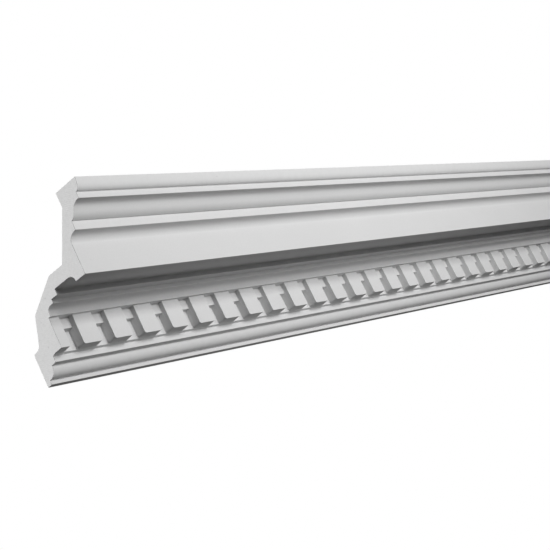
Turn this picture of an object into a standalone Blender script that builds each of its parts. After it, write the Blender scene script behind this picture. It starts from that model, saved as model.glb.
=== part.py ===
"""A length of cast cornice moulding with a dentil course, sawn square at both ends.

The wall is the plane y = 0, with the room at negative y, and the ceiling is on top. The
length runs along X. The section is drawn in the YZ plane from the foot of the wall seat,
up the room side to the ceiling, and back down the hidden side.
"""
import math

import bmesh
import bpy
from mathutils import Matrix, Vector

MM = 0.001

# Length, and the two faces that meet the building
LENGTH = 1040.0 * MM
WALL_SEAT_HEIGHT = 32.8 * MM
CEILING_SEAT_DEPTH = 28.3 * MM

# Bed mould under the dentils, from the foot up
FOOT_DEPTH = 5.9 * MM
FOOT_SLOPE = 0.6 * MM
FOOT_FILLET_HEIGHT = 4.1 * MM
FOOT_QUIRK_DEPTH = 0.5 * MM
OVOLO_DEPTH = 9.7 * MM
OVOLO_HEIGHT = 9.85 * MM
OVOLO_PULLS = (0.84, 0.26)
BED_STEP_DEPTH = 5.8 * MM
BED_STEP_RISE = 0.7 * MM
BED_FILLET_HEIGHT = 5.85 * MM
BAND_LEDGE_DEPTH = 3.3 * MM
BAND_LEDGE_RISE = 0.9 * MM

# Dentil course: blocks on a band, with a low bridge between each two at the top
BAND_HEIGHT = 30.2 * MM
DENTIL_PITCH = 40.0 * MM
DENTIL_WIDTH = 23.4 * MM
DENTIL_DEPTH = 10.6 * MM
DENTIL_FLARE = 1.2 * MM
DENTIL_FOOT_RADIUS = 2.2 * MM
DENTIL_FOOT_FALL = 0.55 * MM
DENTIL_FOOT_LIFT = 0.1 * MM
DENTIL_EDGE_BEVEL = 0.5 * MM
BRIDGE_DEPTH = 5.35 * MM
BRIDGE_HEIGHT = 10.4 * MM
BRIDGE_UNDERCUT = 0.8 * MM

# Cavetto over the dentils, and the steps up to the drip groove
CAVETTO_SETOUT = 3.1 * MM
CAVETTO_UPSTAND = 1.0 * MM
CAVETTO_RADIUS = 7.15 * MM
CAVETTO_PULLS = (0.80, 0.82)
CAVETTO_LEDGE = 2.25 * MM
INNER_STEP_HEIGHT = 4.0 * MM
INNER_STEP_DEPTH = 8.8 * MM
GROOVE_BACK_HEIGHT = 5.7 * MM
GROOVE_WIDTH = 20.1 * MM
GROOVE_LIP_RADIUS = 7.1 * MM

# Corona, the plain upright face, with the cove and fillet over it
CORONA_SOFFIT_DEPTH = 13.8 * MM
CORONA_HEIGHT = 29.95 * MM
COVE_DEPTH = 10.8 * MM
COVE_HEIGHT = 7.6 * MM
COVE_PULLS = (0.10, 0.90)
CORONA_FILLET_HEIGHT = 8.45 * MM

# Ogee, upper fillet and crown ovolo, up to the ceiling
OGEE_DEPTH = 17.4 * MM
OGEE_HEIGHT = 12.2 * MM
OGEE_FOOT_HANDLE = (0.50, 0.30)
OGEE_HEAD_HANDLE = (0.28, 1.0)
UPPER_FILLET_HEIGHT = 5.8 * MM
CROWN_DEPTH = 4.8 * MM
CROWN_HEIGHT = 11.7 * MM
CROWN_PULLS = (0.12, 0.90)
QUIRK_DEPTH = 1.2 * MM
QUIRK_RISE = 0.2 * MM
CROWN_QUIRK_RISE = 0.4 * MM

# Hidden back between the two seats
CEILING_LIP_HEIGHT = 14.6 * MM
WEB_THICKNESS = 13.35 * MM
BACK_BEND_DEPTH = 3.9 * MM
BACK_BEND_RISE = 10.2 * MM
WALL_SHOULDER_DEPTH = 9.4 * MM
WALL_SHOULDER_RISE = 2.0 * MM
BACK_CORNER_CUT = 3.0 * MM

# Curve handles are shares of a curve's reach and rise; these two pulls make a quarter round
ROUND_PULLS = (0.552, 0.552)

# How finely curves are divided, and how far joined pieces run into each other
CURVE_STEPS = 10
CORNER_STEPS = 4
OVERLAP = 1.0 * MM

FOAM_COLOUR = (0.78, 0.78, 0.77, 1.0)
FOAM_ROUGHNESS = 0.75

COLLECTION_NAME = "cornice_moulding_length"
MOULDING_NAME = "cornice_moulding"


class Outline:
    """A run of (y, z) points, each drawn from the one before it."""

    def __init__(self, y, z):
        self.points = [(y, z)]

    def end(self):
        """Return the last point drawn."""
        return self.points[-1]

    def step(self, reach, rise):
        """Draw a straight edge that reaches out from the wall and rises."""
        y, z = self.end()
        self.points.append((y - reach, z + rise))

    def curve(self, reach, rise, foot_handle, head_handle, steps=CURVE_STEPS):
        """Draw a cubic Bezier; its handles are (reach, rise) shares measured from its foot."""
        y, z = self.end()
        foot_y, foot_z = foot_handle
        head_y, head_z = head_handle
        for i in range(1, steps + 1):
            t = i / steps
            u = 1.0 - t
            share_y = foot_y * 3.0 * t * u ** 2 + head_y * 3.0 * t ** 2 * u + t ** 3
            share_z = foot_z * 3.0 * t * u ** 2 + head_z * 3.0 * t ** 2 * u + t ** 3
            self.points.append((y - reach * share_y, z + rise * share_z))

    def quarter_from_level(self, reach, rise, pulls):
        """Draw a quarter turn that starts level and ends upright."""
        self.curve(reach, rise, (pulls[0], 0.0), (1.0, 1.0 - pulls[1]))

    def quarter_from_upright(self, reach, rise, pulls):
        """Draw a quarter turn that starts upright and ends level."""
        self.curve(reach, rise, (0.0, pulls[0]), (1.0 - pulls[1], 1.0))


def rounded_corner(before, corner, after):
    """Return points of a soft bend that replaces one corner of the hidden back."""
    corner = Vector(corner)
    start = corner + (Vector(before) - corner).normalized() * BACK_CORNER_CUT
    end = corner + (Vector(after) - corner).normalized() * BACK_CORNER_CUT
    points = []
    for i in range(CORNER_STEPS + 1):
        t = i / CORNER_STEPS
        point = start * (1.0 - t) ** 2 + corner * 2.0 * t * (1.0 - t) + end * t ** 2
        points.append((point.x, point.y))
    return points


def draw_bed(outline):
    """Draw the foot, ovolo, step and fillet, up to the front of the dentil band."""
    outline.step(FOOT_DEPTH, FOOT_SLOPE)
    outline.step(0.0, FOOT_FILLET_HEIGHT)
    outline.step(FOOT_QUIRK_DEPTH, 0.0)
    outline.quarter_from_level(OVOLO_DEPTH, OVOLO_HEIGHT, OVOLO_PULLS)
    outline.step(BED_STEP_DEPTH, BED_STEP_RISE)
    outline.step(0.0, BED_FILLET_HEIGHT)
    outline.step(BAND_LEDGE_DEPTH, BAND_LEDGE_RISE)


def draw_band(outline):
    """Draw the band behind the dentils and the bridge at its top, up to the soffit."""
    outline.step(0.0, BAND_HEIGHT - BRIDGE_HEIGHT - BRIDGE_UNDERCUT)
    outline.step(BRIDGE_DEPTH, BRIDGE_UNDERCUT)
    outline.step(0.0, BRIDGE_HEIGHT)


def draw_cavetto(outline):
    """Draw the cavetto and the two square steps up to the drip groove."""
    outline.step(DENTIL_DEPTH - BRIDGE_DEPTH + CAVETTO_SETOUT, 0.0)
    outline.step(0.0, CAVETTO_UPSTAND)
    outline.quarter_from_upright(CAVETTO_RADIUS, CAVETTO_RADIUS, CAVETTO_PULLS)
    outline.step(CAVETTO_LEDGE, 0.0)
    outline.step(0.0, INNER_STEP_HEIGHT)
    outline.step(INNER_STEP_DEPTH, 0.0)
    outline.step(0.0, GROOVE_BACK_HEIGHT)


def draw_corona(outline):
    """Draw the groove's round lip, the soffit, the plain face, the cove and its fillet."""
    outline.step(GROOVE_WIDTH, 0.0)
    outline.quarter_from_level(GROOVE_LIP_RADIUS, -GROOVE_LIP_RADIUS, ROUND_PULLS)
    outline.step(CORONA_SOFFIT_DEPTH, 0.0)
    outline.step(0.0, CORONA_HEIGHT)
    outline.quarter_from_upright(COVE_DEPTH, COVE_HEIGHT, COVE_PULLS)
    outline.step(0.0, CORONA_FILLET_HEIGHT)


def draw_crown(outline):
    """Draw the ogee, the upper fillet and the crown ovolo, up to the ceiling."""
    outline.step(QUIRK_DEPTH, QUIRK_RISE)
    outline.curve(OGEE_DEPTH, OGEE_HEIGHT, OGEE_FOOT_HANDLE, OGEE_HEAD_HANDLE, 2 * CURVE_STEPS)
    outline.step(0.0, UPPER_FILLET_HEIGHT)
    outline.step(QUIRK_DEPTH, CROWN_QUIRK_RISE)
    outline.quarter_from_level(CROWN_DEPTH, CROWN_HEIGHT, CROWN_PULLS)


def section():
    """Return the whole section as (y, z) points, with the place of the dentils' front top."""
    outline = Outline(0.0, -WALL_SEAT_HEIGHT / 2)
    draw_bed(outline)
    band_y = outline.end()[0]
    draw_band(outline)
    soffit_z = outline.end()[1]
    draw_cavetto(outline)
    groove_y, groove_z = outline.end()
    draw_corona(outline)
    draw_crown(outline)

    top_y, top_z = outline.end()
    seat_back = (top_y + CEILING_SEAT_DEPTH, top_z)
    lip = (seat_back[0], top_z - CEILING_LIP_HEIGHT)
    web_z = groove_z + WEB_THICKNESS
    bend = (band_y + BACK_BEND_DEPTH, soffit_z + BACK_BEND_RISE)
    wall_top = (0.0, WALL_SEAT_HEIGHT / 2)
    shoulder = (-WALL_SHOULDER_DEPTH, wall_top[1] + WALL_SHOULDER_RISE)
    web_front = (groove_y - GROOVE_WIDTH, web_z)
    web_back = (groove_y, web_z)

    points = outline.points + [seat_back, lip, web_front, web_back]
    points += rounded_corner(web_back, bend, shoulder)
    points += rounded_corner(bend, shoulder, wall_top)
    points.append(wall_top)
    return points, Vector((0.0, band_y - DENTIL_DEPTH, soffit_z))


def extruded_section(name, points, length):
    """Return a mesh object with the section drawn along X, its caps welded on."""
    curve = bpy.data.curves.new(name + "_outline", "CURVE")
    curve.dimensions = "2D"
    curve.fill_mode = "BOTH"
    curve.extrude = length / 2
    spline = curve.splines.new("POLY")
    spline.points.add(len(points) - 1)
    for point, (y, z) in zip(spline.points, points):
        point.co = (y, z, 0.0, 1.0)
    spline.use_cyclic_u = True

    drawing = bpy.data.objects.new(name + "_outline", curve)
    drawing.rotation_euler = (math.radians(90.0), 0.0, math.radians(90.0))
    bpy.context.scene.collection.objects.link(drawing)
    depsgraph = bpy.context.evaluated_depsgraph_get()
    mesh = bpy.data.meshes.new_from_object(drawing.evaluated_get(depsgraph))
    mesh.transform(drawing.matrix_world)
    bpy.data.objects.remove(drawing, do_unlink=True)

    solid = bmesh.new()
    solid.from_mesh(mesh)
    bmesh.ops.remove_doubles(solid, verts=solid.verts, dist=0.001 * MM)
    bmesh.ops.recalc_face_normals(solid, faces=solid.faces)
    solid.to_mesh(mesh)
    solid.free()
    mesh.name = name
    return bpy.data.objects.new(name, mesh)


def dentil_front():
    """Return the (x, z) outline of a dentil's front, with its top run into the soffit."""
    half = DENTIL_WIDTH / 2
    foot = -(BAND_HEIGHT - DENTIL_FOOT_LIFT - DENTIL_FOOT_FALL)
    radius = DENTIL_FOOT_RADIUS
    left = [(-half, OVERLAP)]
    for i in range(CORNER_STEPS + 1):
        turn = math.radians(90.0) * i / CORNER_STEPS
        left.append((-half + radius * (1.0 - math.cos(turn)), foot + radius * (1.0 - math.sin(turn))))
    right = [(-x, z) for x, z in reversed(left)]
    return left + right


def add_dentil(solid, centre_x, corner):
    """Add one dentil: a block that widens and drops a little towards the band behind it."""
    depth = DENTIL_DEPTH + OVERLAP
    flare = DENTIL_FLARE * depth / DENTIL_DEPTH
    fall = DENTIL_FOOT_FALL * depth / DENTIL_DEPTH
    front = []
    back = []
    for x, z in dentil_front():
        front.append(solid.verts.new(corner + Vector((centre_x + x, 0.0, z))))
        out = math.copysign(flare, x)
        drop = fall if z < 0.0 else 0.0
        back.append(solid.verts.new(corner + Vector((centre_x + x + out, depth, z - drop))))
    faces = [solid.faces.new(front), solid.faces.new(reversed(back))]
    count = len(front)
    for i in range(count):
        j = (i + 1) % count
        faces.append(solid.faces.new((front[j], front[i], back[i], back[j])))
    bmesh.ops.recalc_face_normals(solid, faces=faces)
    rim = [solid.edges.get((front[i], front[i + 1])) for i in range(count - 1)]
    bmesh.ops.bevel(solid, geom=rim, offset=DENTIL_EDGE_BEVEL, segments=1, affect="EDGES",
                    profile=0.5)


def dentil_course(corner):
    """Return one object with every dentil, from one centred on the left end of the length."""
    solid = bmesh.new()
    pitches = math.ceil(round(LENGTH / DENTIL_PITCH, 6))
    for i in range(pitches + 1):
        add_dentil(solid, -LENGTH / 2 + i * DENTIL_PITCH, corner)
    mesh = bpy.data.meshes.new("dentils")
    solid.to_mesh(mesh)
    solid.free()
    return bpy.data.objects.new("dentils", mesh)


def saw_block(points):
    """Return the block that keeps the stated length, wider than the section all round."""
    ys = [y for y, z in points]
    zs = [z for y, z in points]
    margin = DENTIL_PITCH
    size = Vector((LENGTH, max(ys) - min(ys) + margin, max(zs) - min(zs) + margin))
    middle = Vector((0.0, (max(ys) + min(ys)) / 2, (max(zs) + min(zs)) / 2))
    solid = bmesh.new()
    bmesh.ops.create_cube(solid, size=1.0, matrix=Matrix.Translation(middle) @ Matrix.Diagonal(size.to_4d()))
    mesh = bpy.data.meshes.new("saw_block")
    solid.to_mesh(mesh)
    solid.free()
    return bpy.data.objects.new("saw_block", mesh)


def foam_material():
    """Return the primed off-white foam finish."""
    material = bpy.data.materials.new("primed_foam")
    material.use_nodes = True
    shader = material.node_tree.nodes["Principled BSDF"]
    shader.inputs["Base Color"].default_value = FOAM_COLOUR
    shader.inputs["Roughness"].default_value = FOAM_ROUGHNESS
    shader.inputs["Metallic"].default_value = 0.0
    return material


def combine(target, tool, operation):
    """Join or trim the target with an exact boolean."""
    modifier = target.modifiers.new(operation.lower() + "_" + tool.name, "BOOLEAN")
    modifier.operation = operation
    modifier.solver = "EXACT"
    modifier.object = tool


for old in list(bpy.data.objects):
    bpy.data.objects.remove(old, do_unlink=True)

parts = bpy.data.collections.new(COLLECTION_NAME)
tools = bpy.data.collections.new("cutters")
bpy.context.scene.collection.children.link(parts)
bpy.context.scene.collection.children.link(tools)

section_points, dentil_corner = section()
moulding = extruded_section(MOULDING_NAME, section_points, LENGTH + 2 * DENTIL_PITCH)
moulding.data.materials.append(foam_material())
parts.objects.link(moulding)

for tool_object, action in ((dentil_course(dentil_corner), "UNION"), (saw_block(section_points), "INTERSECT")):
    tool_object.hide_render = True
    tool_object.display_type = "WIRE"
    tools.objects.link(tool_object)
    combine(moulding, tool_object, action)
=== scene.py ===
import math

import bmesh
import bpy
import numpy as np
from mathutils import Matrix, Vector


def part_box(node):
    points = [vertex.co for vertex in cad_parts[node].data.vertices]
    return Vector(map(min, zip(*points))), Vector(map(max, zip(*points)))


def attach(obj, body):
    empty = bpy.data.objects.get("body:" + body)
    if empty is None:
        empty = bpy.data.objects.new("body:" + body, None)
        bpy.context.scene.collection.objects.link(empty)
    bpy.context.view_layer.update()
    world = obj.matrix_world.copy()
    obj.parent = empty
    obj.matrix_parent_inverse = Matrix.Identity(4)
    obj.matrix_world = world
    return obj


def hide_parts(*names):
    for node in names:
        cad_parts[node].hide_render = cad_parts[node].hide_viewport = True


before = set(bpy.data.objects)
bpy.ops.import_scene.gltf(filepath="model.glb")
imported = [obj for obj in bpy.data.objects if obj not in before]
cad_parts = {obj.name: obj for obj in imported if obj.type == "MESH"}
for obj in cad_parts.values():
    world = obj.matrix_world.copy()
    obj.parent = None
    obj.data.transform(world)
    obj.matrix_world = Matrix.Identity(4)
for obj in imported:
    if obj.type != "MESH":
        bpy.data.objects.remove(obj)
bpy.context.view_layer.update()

# The casting: one length of rigid foam, cast in a mould that runs along X, so a single
# section makes every member from the wall seat to the crown. Its arrises are a little soft,
# as foam leaves a mould, and its skin is factory primed. The section is drawn in millimetres.
MM = 0.001
low, high = (Vector(corner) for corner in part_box("cornice_moulding"))
length = high.x - low.x
dentil_pitch = 40.0 * MM
dentil_depth = 10.6
bridge_depth = 5.35
bridge_height = 10.4
bridge_undercut = 0.8
band_height = 30.2
cavetto_setout = 3.1
cavetto_radius = 7.15
groove_width = 20.1
groove_lip = 7.1
quirk = 1.2
wall_seat = 32.8
ceiling_seat = 28.3
ceiling_lip = 14.6
web_thickness = 13.35
back_bend = (3.9, 10.2)
wall_shoulder = (9.4, 2.0)
crisp = 0.3
arris = 0.45
blunt = 0.7
soft_bend = 3.0
stations = 54


def straight():
    """Fractions of reach and rise for a straight edge: its far end, at the whole of both."""
    return np.array(((1.0, 1.0),))


def curved(foot_pull, head_pull, count=18):
    """A cubic Bezier from (0, 0) to (1, 1), with its two handles given as shares of the whole."""
    handles = np.array(((0.0, 0.0), foot_pull, head_pull, (1.0, 1.0)))
    t = np.linspace(0.0, 1.0, count + 1)[1:, None]
    u = 1.0 - t
    first_half = handles[0] * u ** 3 + handles[1] * 3 * t * u ** 2
    return first_half + handles[2] * 3 * t ** 2 * u + handles[3] * t ** 3


def quarter_from_level(start=0.552, end=0.552):
    """A quarter turn from level to upright; pulls of 0.552 at both ends make it an ellipse."""
    return curved((start, 0.0), (1.0, 1.0 - end))


def quarter_from_upright(start=0.552, end=0.552):
    """A quarter turn from upright to level; pulls of 0.552 at both ends make it an ellipse."""
    return curved((0.0, start), (1.0 - end, 1.0))


def ogee():
    """An S curve: it leaves its foot on a slant, swells, hollows and meets its head level."""
    return curved(foot_pull=(0.50, 0.30), head_pull=(0.28, 1.0), count=30)


# Each member of the room side, from the wall's foot up: its curve, its reach from the wall,
# its rise, and how far its far arris is rounded, all in millimetres
members = (
    ("foot underside", straight(), 5.9, 0.6, arris),
    ("foot fillet", straight(), 0.0, 4.1, crisp),
    ("foot quirk", straight(), 0.5, 0.0, 0.0),
    ("bed ovolo", quarter_from_level(start=0.84, end=0.26), 9.7, 9.85, crisp),
    ("bed step", straight(), 5.8, 0.7, arris),
    ("bed fillet", straight(), 0.0, 5.85, arris),
    ("band ledge", straight(), 3.3, 0.9, arris),
    ("band", straight(), 0.0, band_height - bridge_height - bridge_undercut, blunt),
    ("bridge underside", straight(), bridge_depth, bridge_undercut, arris),
    ("bridge face", straight(), 0.0, bridge_height, crisp),
    ("dentil soffit", straight(), dentil_depth - bridge_depth + cavetto_setout, 0.0, arris),
    ("cavetto upstand", straight(), 0.0, 1.0, 0.0),
    ("cavetto", quarter_from_upright(start=0.80, end=0.82), cavetto_radius, cavetto_radius, 0.0),
    ("cavetto ledge", straight(), 2.25, 0.0, arris),
    ("first riser", straight(), 0.0, 4.0, crisp),
    ("inner step", straight(), 8.8, 0.0, arris),
    ("second riser", straight(), 0.0, 5.7, blunt),
    ("drip groove", straight(), groove_width, 0.0, 0.0),
    ("groove lip", quarter_from_level(), groove_lip, -groove_lip, arris),
    ("corona soffit", straight(), 13.8, 0.0, arris),
    ("corona face", straight(), 0.0, 29.95, 0.0),
    ("cove", quarter_from_upright(start=0.10, end=0.90), 10.8, 7.6, arris),
    ("corona fillet", straight(), 0.0, 8.45, arris),
    ("ogee quirk", straight(), quirk, 0.2, crisp),
    ("ogee", ogee(), 17.4, 12.2, arris),
    ("upper fillet", straight(), 0.0, 5.8, arris),
    ("crown quirk", straight(), quirk, 0.4, crisp),
    ("crown ovolo", quarter_from_level(start=0.12, end=0.90), 4.8, 11.7, arris),
)


def room_side():
    """Run the members end to end; also give each point's rounding and each member's end."""
    end = np.array((0.0, -wall_seat / 2))
    points = [end[None, :]]
    cuts = [np.array((blunt,))]
    ends = {}
    for name, curve, reach, rise, cut in members:
        run = end + curve * (-reach, rise)
        points.append(run)
        cuts.append(np.append(np.zeros(len(run) - 1), cut))
        end = run[-1]
        ends[name] = end
    return np.concatenate(points), np.concatenate(cuts), ends


def whole_section():
    """Close the room side with the hidden back, which keeps an even wall behind the groove."""
    points, cuts, ends = room_side()
    top = ends["crown ovolo"]
    groove = ends["second riser"]
    band_y = ends["band ledge"][0]
    soffit_z = ends["bridge face"][1]
    seat_back = top + (ceiling_seat, 0.0)
    back = np.array((
        seat_back,
        seat_back - (0.0, ceiling_lip),
        groove + (-groove_width, web_thickness),
        groove + (0.0, web_thickness),
        (band_y + back_bend[0], soffit_z + back_bend[1]),
        (-wall_shoulder[0], wall_seat / 2 + wall_shoulder[1]),
        (0.0, wall_seat / 2),
    ))
    back_cuts = np.array((arris, blunt, blunt, blunt, soft_bend, soft_bend, arris))
    return np.concatenate((points, back)), np.concatenate((cuts, back_cuts)), ends


def softened(points, cuts, count=5, most=0.8, nearest=1e-4):
    """Round each corner: a parabola between the points one cut length away along its two sides.

    The cut is never longer than the share most of a side. Of two points that are nearer to
    each other than nearest, one is left out.
    """
    before = np.roll(points, 1, axis=0) - points
    after = np.roll(points, -1, axis=0) - points
    size_before = np.linalg.norm(before, axis=1)
    size_after = np.linalg.norm(after, axis=1)
    start = points + before * np.minimum(cuts / size_before, most)[:, None]
    end = points + after * np.minimum(cuts / size_after, most)[:, None]
    t = np.linspace(0.0, 1.0, count + 1)[None, :, None]
    curve = start[:, None] * (1 - t) ** 2 + points[:, None] * 2 * t * (1 - t) + end[:, None] * t ** 2
    curve = curve.reshape(-1, 2)
    step = np.linalg.norm(curve - np.roll(curve, 1, axis=0), axis=1)
    return curve[step > nearest]


def held(points, hold=0.5, long_side=3.0):
    """Add a point near both ends of each long side, so that the flats shade flat."""
    after = np.roll(points, -1, axis=0) - points
    size = np.linalg.norm(after, axis=1)
    part = np.where(size > long_side, hold / size, 0.0)
    near = points + after * part[:, None]
    far = points + after * (1 - part)[:, None]
    runs = np.stack((points, near, far), axis=1)
    keep = np.stack((part >= 0.0, part > 0.0, part > 0.0), axis=1)
    return runs[keep]


def mesh_object(name, vertices, faces):
    """Put arrays of points and faces into a mesh object."""
    mesh = bpy.data.meshes.new(name)
    mesh.from_pydata(vertices.tolist(), [], faces)
    mesh.validate()
    piece = bpy.data.objects.new(name, mesh)
    bpy.context.scene.collection.objects.link(piece)
    return piece


def ring_sides(rings, count):
    """The four-cornered faces between each two neighbouring rings of count points."""
    i = np.arange(rings - 1)[:, None] * count
    j = np.arange(count)[None, :]
    k = (j + 1) % count
    return np.stack((i + j, i + count + j, i + count + k, i + k), axis=-1).reshape(-1, 4)


def ring_caps(rings, count):
    """The two flat faces that close the first and the last ring, with the last one reversed."""
    around = np.arange(count)
    return np.stack((around, rings * count - 1 - around))


def drawn_length(outline, total):
    """Carry the outline along X: a grid of stations by outline points, closed by flat caps."""
    x = np.linspace(-total / 2, total / 2, stations)
    count = len(outline)
    grid = np.empty((stations, count, 3))
    grid[:, :, 0] = x[:, None]
    grid[:, :, 1:] = outline[None] * MM
    faces = ring_sides(stations, count).tolist() + ring_caps(stations, count).tolist()
    return mesh_object("casting", grid.reshape(-1, 3), faces)


section, section_cuts, member_ends = whole_section()
outline = held(softened(section, section_cuts))
casting = drawn_length(outline, length + dentil_pitch)

# The dentils: small blocks in the same casting, one to each pitch, a little wider and lower
# at the back than at the front so that they leave the mould, with rounded feet. They are
# drawn in millimetres too.
dentil_width = 23.4
dentil_flare = 1.2
foot_fall = 0.55
foot_lift = 0.1
foot_radius = 2.2
dentil_arris = 0.5
overlap = 1.0
cap_inset = 0.5
hold_depth = 2.0


def dentil_ring(inset, steps=7):
    """The (x, z) outline of a dentil drawn in by the inset: two sides and two quarter-round feet."""
    half = dentil_width / 2 - inset
    foot = -(band_height - foot_lift - foot_fall) + inset
    radius = foot_radius - inset
    turn = np.linspace(0.0, math.pi / 2, steps + 1)
    x = -half + radius * (1.0 - np.cos(turn))
    z = foot + radius * (1.0 - np.sin(turn))
    left = np.column_stack((np.append((-half, -half), x), np.append((overlap, -foot_radius), z)))
    right = left[::-1] * (-1.0, 1.0)
    return np.concatenate((left, right))


def dentil_blocks(arris_steps=5):
    """All dentils: rings along the depth, drawn in by a quarter circle at the front arris.

    One more ring lies inside the front face and one behind the arris, so that both stay flat.
    """
    turn = np.linspace(0.0, math.pi / 2, arris_steps + 1)
    drawn_in = dentil_arris * (1.0 - np.sin(turn))
    set_back = dentil_arris * (1.0 - np.cos(turn))
    insets = np.concatenate(((dentil_arris + cap_inset,), drawn_in, (0.0, 0.0)))
    depths = np.concatenate(((0.0,), set_back, (hold_depth, dentil_depth + overlap)))
    rings = np.stack([dentil_ring(inset) for inset in insets])
    layers, count = rings.shape[:2]
    block = np.empty((layers, count, 3))
    back = depths[:, None] / dentil_depth
    block[:, :, 0] = rings[:, :, 0] + np.sign(rings[:, :, 0]) * dentil_flare * back
    block[:, :, 1] = depths[:, None]
    block[:, :, 2] = rings[:, :, 1] - np.where(rings[:, :, 1] < -foot_radius, foot_fall * back, 0.0)
    front_top = member_ends["bridge face"] - (dentil_depth - bridge_depth, 0.0)
    block[:, :, 1:] += front_top
    copies = round(length / dentil_pitch) + 1
    centres = -length / 2 + dentil_pitch * np.arange(copies)
    blocks = np.repeat(block[None] * MM, copies, axis=0)
    blocks[..., 0] += centres[:, None, None]
    starts = (np.arange(copies) * layers * count)[:, None, None]
    faces = (ring_sides(layers, count) + starts).reshape(-1, 4).tolist()
    faces += (ring_caps(layers, count) + starts).reshape(-1, count).tolist()
    return mesh_object("dentils", blocks.reshape(-1, 3), faces)


dentils = dentil_blocks()

# The saw cuts: the long casting is cut square at both ends, each through the middle of a
# dentil, so that the pitch runs on when two lengths are butted.
saw_margin = 50.0 * MM
sharp_angle = math.radians(32.0)


def block_between(corner, opposite):
    """The eight corners and six outward faces of a box between two opposite corners."""
    pick = np.array((
        (0, 0, 0), (1, 0, 0), (1, 1, 0), (0, 1, 0),
        (0, 0, 1), (1, 0, 1), (1, 1, 1), (0, 1, 1)))
    vertices = np.where(pick == 0, np.array(corner), np.array(opposite))
    faces = [(0, 3, 2, 1), (4, 5, 6, 7), (0, 1, 5, 4), (1, 2, 6, 5), (2, 3, 7, 6), (3, 0, 4, 7)]
    return vertices, faces


saw = mesh_object("saw", *block_between(
    (low.x, low.y - saw_margin, low.z - saw_margin),
    (high.x, high.y + saw_margin, high.z + saw_margin)))

for tool, operation in ((dentils, "UNION"), (saw, "INTERSECT")):
    cut = casting.modifiers.new(operation.lower(), "BOOLEAN")
    cut.operation = operation
    cut.solver = "EXACT"
    cut.object = tool

depsgraph = bpy.context.evaluated_depsgraph_get()
finished = bpy.data.meshes.new_from_object(casting.evaluated_get(depsgraph))
moulding = bpy.data.objects.new("moulding", finished)
bpy.context.scene.collection.objects.link(moulding)
for used in (casting, dentils, saw):
    bpy.data.objects.remove(used, do_unlink=True)
finished.shade_smooth()
finished.set_sharp_from_angle(angle=sharp_angle)

# The cut ends show a thin dark line of painted shade, for the shadow at the dense primed skin's
# edge, beside bare foam: a narrow ring is set in from each sawn outline, and its room side is dark.
edge_shade_width = 0.30 * MM
ring_weld = 0.14 * MM
end_plane = length / 2 - 0.1 * MM
square_on = 0.99
foam_slot = 1
edge_shade_slot = 2


def looks_to_room(ring_face, across=0.5, upward=0.05, backward=0.98):
    """True where the casting's own face beside a ring face looks neither up nor straight back.

    The casting's own face is the neighbour whose normal lies across the length.
    """
    beside = [other.normal for edge in ring_face.edges for other in edge.link_faces]
    skins = [normal for normal in beside if abs(normal.x) < across]
    return bool(skins) and skins[0].z < upward and skins[0].y < backward


finished.materials.clear()
shaped = bmesh.new()
shaped.from_mesh(finished)
sawn = [face for face in shaped.faces
        if abs(face.normal.x) > square_on and abs(face.calc_center_median().x) > end_plane]
rings = bmesh.ops.inset_region(shaped, faces=sawn, thickness=edge_shade_width, use_even_offset=True)["faces"]
for face in sawn:
    face.material_index = foam_slot
    face.smooth = False
# Ring faces on the room side take the dark material: painted shade along the cut edge.
for face in rings:
    face.material_index = edge_shade_slot if looks_to_room(face) else foam_slot
    face.smooth = False
# Where the inset crowds the inner line, corners nearer to each other than the weld become one
inner_line = list(dict.fromkeys(corner for face in sawn for corner in face.verts))
bmesh.ops.remove_doubles(shaped, verts=inner_line, dist=ring_weld)
shaped.to_mesh(finished)
shaped.free()


def arris_share(mesh, full=12.0):
    """At each face corner: the sharper bend of the face's two edges there, as a share of full.

    A bend counts where the face centres fall away from the edge, as on an arris, and not in
    an inner corner. It is measured between the two faces' normals, in degrees.
    """
    corners = np.empty(len(mesh.loops), dtype=np.int32)
    mesh.loops.foreach_get("edge_index", corners)
    starts = np.empty(len(mesh.polygons), dtype=np.int32)
    counts = np.empty(len(mesh.polygons), dtype=np.int32)
    normals = np.empty(len(mesh.polygons) * 3, dtype=np.float32)
    centres = np.empty(len(mesh.polygons) * 3, dtype=np.float32)
    mesh.polygons.foreach_get("loop_start", starts)
    mesh.polygons.foreach_get("loop_total", counts)
    mesh.polygons.foreach_get("normal", normals)
    mesh.polygons.foreach_get("center", centres)
    normals, centres = normals.reshape(-1, 3), centres.reshape(-1, 3)
    owner = np.repeat(np.arange(len(mesh.polygons)), counts)
    order = np.argsort(corners, kind="stable")
    first, second = owner[order[0::2]], owner[order[1::2]]
    bend = np.degrees(np.arccos(np.clip((normals[first] * normals[second]).sum(1), -1.0, 1.0)))
    falls_away = ((centres[second] - centres[first]) * normals[first]).sum(1) < 0.0
    cut_end = np.abs(centres[:, 0]) > end_plane
    real = falls_away & ~cut_end[first] & ~cut_end[second]
    edge_share = np.where(real, np.clip(bend / full, 0.0, 1.0), 0.0)
    here = edge_share[corners]
    previous = np.arange(len(corners)) - 1
    previous[starts] = starts + counts - 1
    return np.maximum(here, here[previous])


# The arris share drives a painted highlight along the convex arrises, with some rubbed wear.
arris_highlight_and_wear_share = finished.attributes.new("arris", "FLOAT", "CORNER")
arris_highlight_and_wear_share.data.foreach_set("value", arris_share(finished).astype(np.float32))
weigh = moulding.modifiers.new("flats", "WEIGHTED_NORMAL")
weigh.keep_sharp = True
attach(moulding, "root")
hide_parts("cornice_moulding")
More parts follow.
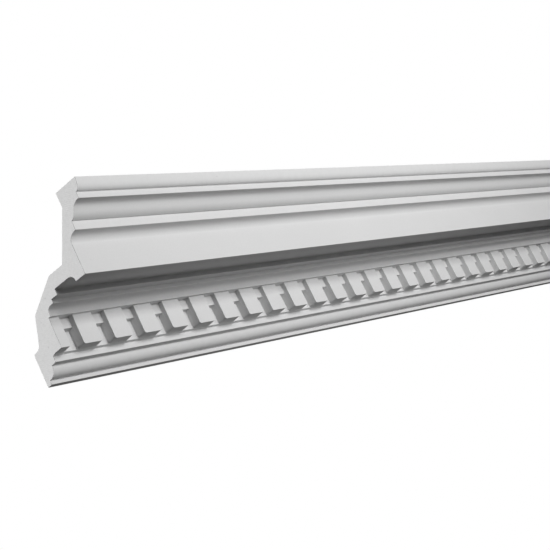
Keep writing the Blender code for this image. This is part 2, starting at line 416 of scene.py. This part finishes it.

# The primer: one thin matt coat sprayed on the cast skin. It has a fine dry grain, a faint
# cloudiness and a few pinholes and nicks; along the arrises it is painted lighter, partly a
# painted highlight and partly the coat rubbed thin.
# Counts are cells or patches to the metre, tones multiply the coat's grey, levels are greys.
primer_level = 0.690
primer_roughness = 0.62
primer_roughness_swing = 0.06
primer_gloss = 0.35
cloud_count = 16.0
cloud_swing = 0.015
grain_count = 520.0
grain_tone = 0.94
grain_height = 0.022 * MM
drift_count = 150.0
drift_height = 0.030 * MM
arris_highlight_and_wear_tone = 1.09
pinhole_count = 42.0
pinhole_radius = 0.55 * MM
pinhole_depth = 0.25 * MM
pinhole_shade_level = 0.34
pinhole_cover = 0.75
nick_count = 27.0
nick_radius = 0.75 * MM
nick_depth = 0.22 * MM
nick_shade_level = 0.52
nick_cover = 0.35
nick_turn = (0.4, 0.9, 0.7)
nick_scale = (1.0, 0.32, 1.0)


def node(tree, kind, inputs=None, **settings):
    """Add a node with its settings; an input takes a number or another node's output."""
    made = tree.nodes.new(kind)
    for name, value in settings.items():
        setattr(made, name, value)
    for name, value in (inputs or {}).items():
        if isinstance(value, bpy.types.NodeSocket):
            tree.links.new(value, made.inputs[name])
        else:
            made.inputs[name].default_value = value
    return made


def share(tree, value, start, end, low=0.0, high=1.0):
    """A value turned into a share: low at start, high at end, straight between, held outside."""
    ends = {"Value": value, "From Min": start, "From Max": end, "To Min": low, "To Max": high}
    return node(tree, "ShaderNodeMapRange", ends).outputs["Result"]


def noise(tree, place, count, detail=2.0, roughness=0.5):
    """Smooth noise with a given number of patches to the metre."""
    inputs = {"Vector": place, "Scale": count, "Detail": detail, "Roughness": roughness}
    return node(tree, "ShaderNodeTexNoise", inputs).outputs["Fac"]


def times(tree, one, other):
    """The product of two values."""
    return node(tree, "ShaderNodeMath", {0: one, 1: other}, operation="MULTIPLY").outputs["Value"]


def moved(tree, place, shift=(0.0, 0.0, 0.0), turn=(0.0, 0.0, 0.0), scale=(1.0, 1.0, 1.0)):
    """The place scaled, then turned, then shifted."""
    inputs = {"Vector": place, "Location": shift, "Rotation": turn, "Scale": scale}
    return node(tree, "ShaderNodeMapping", inputs).outputs["Vector"]


def spots(tree, place, count, radius, kept, core=0.4, step=0.01):
    """Scattered round spots, at most one to a cell, in the share of the cells that is kept.

    A spot is 1 out to the core's share of its radius, and falls to 0 at the radius.
    """
    cells = node(tree, "ShaderNodeTexVoronoi", {"Vector": place, "Scale": count})
    reach = radius * count
    round_spot = share(tree, cells.outputs["Distance"], reach * core, reach, low=1.0, high=0.0)
    red = node(tree, "ShaderNodeSeparateColor", {"Color": cells.outputs["Color"]}).outputs["Red"]
    return times(tree, round_spot, share(tree, red, kept, kept - step))


def blend(tree, amount, under, over):
    """A colour that goes from under to over as the amount goes from 0 to 1.

    Inputs 6 and 7 and output 2 of the node are its colour ones.
    """
    inputs = {0: amount, 6: under, 7: over}
    return node(tree, "ShaderNodeMix", inputs, data_type="RGBA").outputs[2]


def grey(level):
    """A neutral grey."""
    return (level, level, level, 1.0)


def relief(tree, height, depth, under=None):
    """Raise the surface by the height times the depth in metres, over an earlier relief."""
    inputs = {"Height": height, "Distance": depth, "Strength": 1.0}
    if under:
        inputs["Normal"] = under
    return node(tree, "ShaderNodeBump", inputs).outputs["Normal"]


def new_material(name, roughness, specular):
    """A Principled material on the moulding; returns its node tree, shader and place vector."""
    material = bpy.data.materials.new(name)
    material.use_nodes = True
    finished.materials.append(material)
    tree = material.node_tree
    shader = tree.nodes["Principled BSDF"]
    shader.inputs["Roughness"].default_value = roughness
    shader.inputs["Specular IOR Level"].default_value = specular
    return tree, shader, tree.nodes.new("ShaderNodeTexCoord").outputs["Object"]


tree, shader, place = new_material("primer", primer_roughness, primer_gloss)
cloud = share(tree, noise(tree, place, cloud_count, detail=4.0, roughness=0.55), start=0.30, end=0.70)
grain = noise(tree, place, grain_count, detail=4.0, roughness=0.65)
drift = noise(tree, place, drift_count)
coat = blend(tree, cloud, grey(primer_level * (1.0 - cloud_swing)), grey(primer_level * (1.0 + cloud_swing)))
specks = share(tree, grain, start=0.35, end=0.65, high=0.5)
coat = blend(tree, specks, coat, grey(primer_level * grain_tone))
on_arris = node(tree, "ShaderNodeAttribute", attribute_name="arris").outputs["Fac"]
# Lighter along the convex arrises: a painted highlight, partly the coat rubbed thin.
arris_highlight_and_wear = times(tree, on_arris, share(tree, drift, start=0.35, end=0.62, low=0.35))
coat = blend(tree, arris_highlight_and_wear, coat, grey(primer_level * arris_highlight_and_wear_tone))
pinholes = spots(tree, place, pinhole_count, pinhole_radius, kept=0.24)
nick_place = moved(tree, place, turn=nick_turn, scale=nick_scale)
nicks = spots(tree, nick_place, nick_count, nick_radius, kept=0.16)
# Pinholes and nicks are dented in the relief, and their darker colour is painted shade in the hollow.
coat = blend(tree, times(tree, pinholes, pinhole_cover), coat, grey(pinhole_shade_level))
coat = blend(tree, times(tree, nicks, nick_cover), coat, grey(nick_shade_level))
tree.links.new(coat, shader.inputs["Base Color"])
dullness = share(
    tree, drift, start=0.3, end=0.7,
    low=primer_roughness - primer_roughness_swing, high=primer_roughness + primer_roughness_swing)
tree.links.new(dullness, shader.inputs["Roughness"])
skin = relief(tree, grain, grain_height)
skin = relief(tree, drift, drift_height, skin)
skin = relief(tree, pinholes, -pinhole_depth, skin)
skin = relief(tree, nicks, -nick_depth, skin)
tree.links.new(skin, shader.inputs["Normal"])

# The bare foam at the cut: tiny closed cells, some paler, a few open pores, and the faint
# arcs that the round saw blade leaves.
foam_level = 0.690
foam_roughness = 0.9
foam_gloss = 0.2
cell_count = 760.0
cell_tone = 1.09
cell_height = 0.12 * MM
mottle_count = 330.0
mottle_swing = 0.045
pale_count = 150.0
pale_radius = 0.85 * MM
pale_tone = 1.22
pale_cover = 0.45
pore_count = 170.0
pore_radius = 0.55 * MM
pore_depth = 0.45 * MM
pore_shade_tone = 0.62
pore_cover = 0.7
pore_shift = (0.31, 0.17, 0.43)
blade_arc = 1.7 * MM
blade_shift = (0.0, -0.09, 0.13)
blade_tone = 0.95
blade_depth = 0.05 * MM
wave_turn = 20.0
tree, shader, place = new_material("sawn foam", foam_roughness, foam_gloss)
cells = node(tree, "ShaderNodeTexVoronoi", {"Vector": place, "Scale": cell_count})
cell_red = node(tree, "ShaderNodeSeparateColor", {"Color": cells.outputs["Color"]}).outputs["Red"]
mottle = share(tree, noise(tree, place, mottle_count, detail=4.0, roughness=0.6), start=0.32, end=0.68)
foam = blend(tree, mottle, grey(foam_level * (1.0 - mottle_swing)), grey(foam_level * (1.0 + mottle_swing)))
foam = blend(tree, share(tree, cell_red, 0.0, 1.0, high=0.5), foam, grey(foam_level * cell_tone))
pale = spots(tree, place, pale_count, pale_radius, kept=0.35)
foam = blend(tree, times(tree, pale, pale_cover), foam, grey(foam_level * pale_tone))
# Open pores are dented in the relief, and their darker colour is painted shade in the hollow.
pores = spots(tree, moved(tree, place, shift=pore_shift), pore_count, pore_radius, kept=0.30)
foam = blend(tree, times(tree, pores, pore_cover), foam, grey(foam_level * pore_shade_tone))
arcs = node(tree, "ShaderNodeTexWave", {
    "Vector": moved(tree, place, shift=blade_shift), "Scale": 2.0 * math.pi / wave_turn / blade_arc,
    "Distortion": 2.0, "Detail": 2.0, "Detail Scale": 1.5},
    wave_type="RINGS", rings_direction="X").outputs["Fac"]
foam = blend(tree, share(tree, arcs, 0.0, 1.0, high=0.3), foam, grey(foam_level * blade_tone))
tree.links.new(foam, shader.inputs["Base Color"])
cut_face = relief(tree, cells.outputs["Distance"], cell_height)
cut_face = relief(tree, arcs, blade_depth, cut_face)
cut_face = relief(tree, pores, -pore_depth, cut_face)
tree.links.new(cut_face, shader.inputs["Normal"])

# The cut edge: a thin dark painted shade on the dense primed skin, chipped out here and there.
chip_count = 420.0
chip_height = 0.10 * MM
edge_shade_level = 0.13
chip_level = 0.34
tree, shader, place = new_material("edge shade at the cut", roughness=0.75, specular=0.25)
chips = share(tree, noise(tree, place, chip_count, detail=3.0, roughness=0.6), start=0.42, end=0.62)
tree.links.new(blend(tree, chips, grey(edge_shade_level), grey(chip_level)), shader.inputs["Base Color"])
tree.links.new(relief(tree, chips, chip_height), shader.inputs["Normal"])

# The camera: a long lens from below and to the left, rolled, as the photograph was taken.
camera_data = bpy.data.cameras.new("camera")
camera_data.sensor_width = 36.0
camera_data.lens = 84.625
camera_data.clip_end = 50.0
camera = bpy.data.objects.new("camera", camera_data)
camera_place = Vector((-1.303338, -0.835339, -0.282820))
camera_forward = Vector((0.792288, 0.564234, 0.232207)).normalized()
camera_up = Vector((0.085552, -0.479546, 0.873336))
camera_right = camera_forward.cross(camera_up).normalized()
camera_up = camera_right.cross(camera_forward)
camera_turn = Matrix((camera_right, camera_up, -camera_forward)).transposed()
camera.matrix_world = Matrix.Translation(camera_place) @ camera_turn.to_4x4()
bpy.context.scene.collection.objects.link(camera)
bpy.context.scene.camera = camera

# The stage: a plain pale floor well under the moulding, which gives off a little light of its
# own that only the camera sees. One soft lamp in front models the members, and others to its
# sides, below, past both ends and behind lift what it leaves dark.
floor_half = 4.0
floor_level = -0.85
floor_tone = 0.80
floor_roughness = 0.85
floor_glow = 0.62
floor = mesh_object("floor", np.array((
    (-floor_half, -floor_half, floor_level), (floor_half, -floor_half, floor_level),
    (floor_half, floor_half, floor_level), (-floor_half, floor_half, floor_level))), [(0, 1, 2, 3)])
floor.visible_diffuse = False
floor.visible_glossy = False
floor_paint = bpy.data.materials.new("floor paint")
floor_paint.use_nodes = True
paint = floor_paint.node_tree.nodes["Principled BSDF"]
paint.inputs["Base Color"].default_value = grey(floor_tone)
paint.inputs["Roughness"].default_value = floor_roughness
paint.inputs["Emission Color"].default_value = grey(1.0)
paint.inputs["Emission Strength"].default_value = floor_glow
floor.data.materials.append(floor_paint)

# Each lamp: its place, its size and its power, in metres and watts. All face the aim.
lamp_aim = Vector((-0.15, -0.06, 0.04))
lamps = (
    ("front", (-0.15, -1.56, 0.34), (0.25, 0.45), 13.4),
    ("front low", (-0.15, -1.56, -0.15), (0.25, 0.25), 1.53),
    ("front left", (-0.85, -1.56, 0.45), (0.25, 0.25), 3.63),
    ("front right", (0.55, -1.56, 0.05), (0.25, 0.25), 6.1),
    ("below", (-0.15, -0.15, -0.80), (0.40, 0.40), 0.91),
    ("past the near end", (-2.40, 0.50, 0.30), (0.60, 0.60), 35.7),
    ("past the far end", (2.40, 0.50, 0.30), (0.60, 0.60), 30.0),
    ("behind", (0.10, 1.60, 0.60), (1.20, 0.60), 15.0),
)
for name, spot, size, watts in lamps:
    lamp_data = bpy.data.lights.new(name, "AREA")
    lamp_data.shape = "RECTANGLE"
    lamp_data.size, lamp_data.size_y = size
    lamp_data.energy = watts
    lamp = bpy.data.objects.new(name, lamp_data)
    facing = (Vector(spot) - lamp_aim).to_track_quat("Z", "Y").to_matrix().to_4x4()
    lamp.matrix_world = Matrix.Translation(spot) @ facing
    lamp.visible_camera = False
    bpy.context.scene.collection.objects.link(lamp)

# The white behind the moulding is there for the camera only and lights nothing.
world = bpy.data.worlds.new("studio")
world.use_nodes = True
bpy.context.scene.world = world
sky = world.node_tree
seen = node(sky, "ShaderNodeBackground", {"Color": grey(1.0), "Strength": 1.0}).outputs["Background"]
unseen = sky.nodes["Background"]
unseen.inputs["Color"].default_value = grey(0.0)
first_hit = node(sky, "ShaderNodeLightPath").outputs["Is Camera Ray"]
both = node(sky, "ShaderNodeMixShader", {0: first_hit, 1: unseen.outputs["Background"], 2: seen})
sky.links.new(both.outputs["Shader"], sky.nodes["World Output"].inputs["Surface"])
bpy.context.scene.view_settings.view_transform = "Standard"
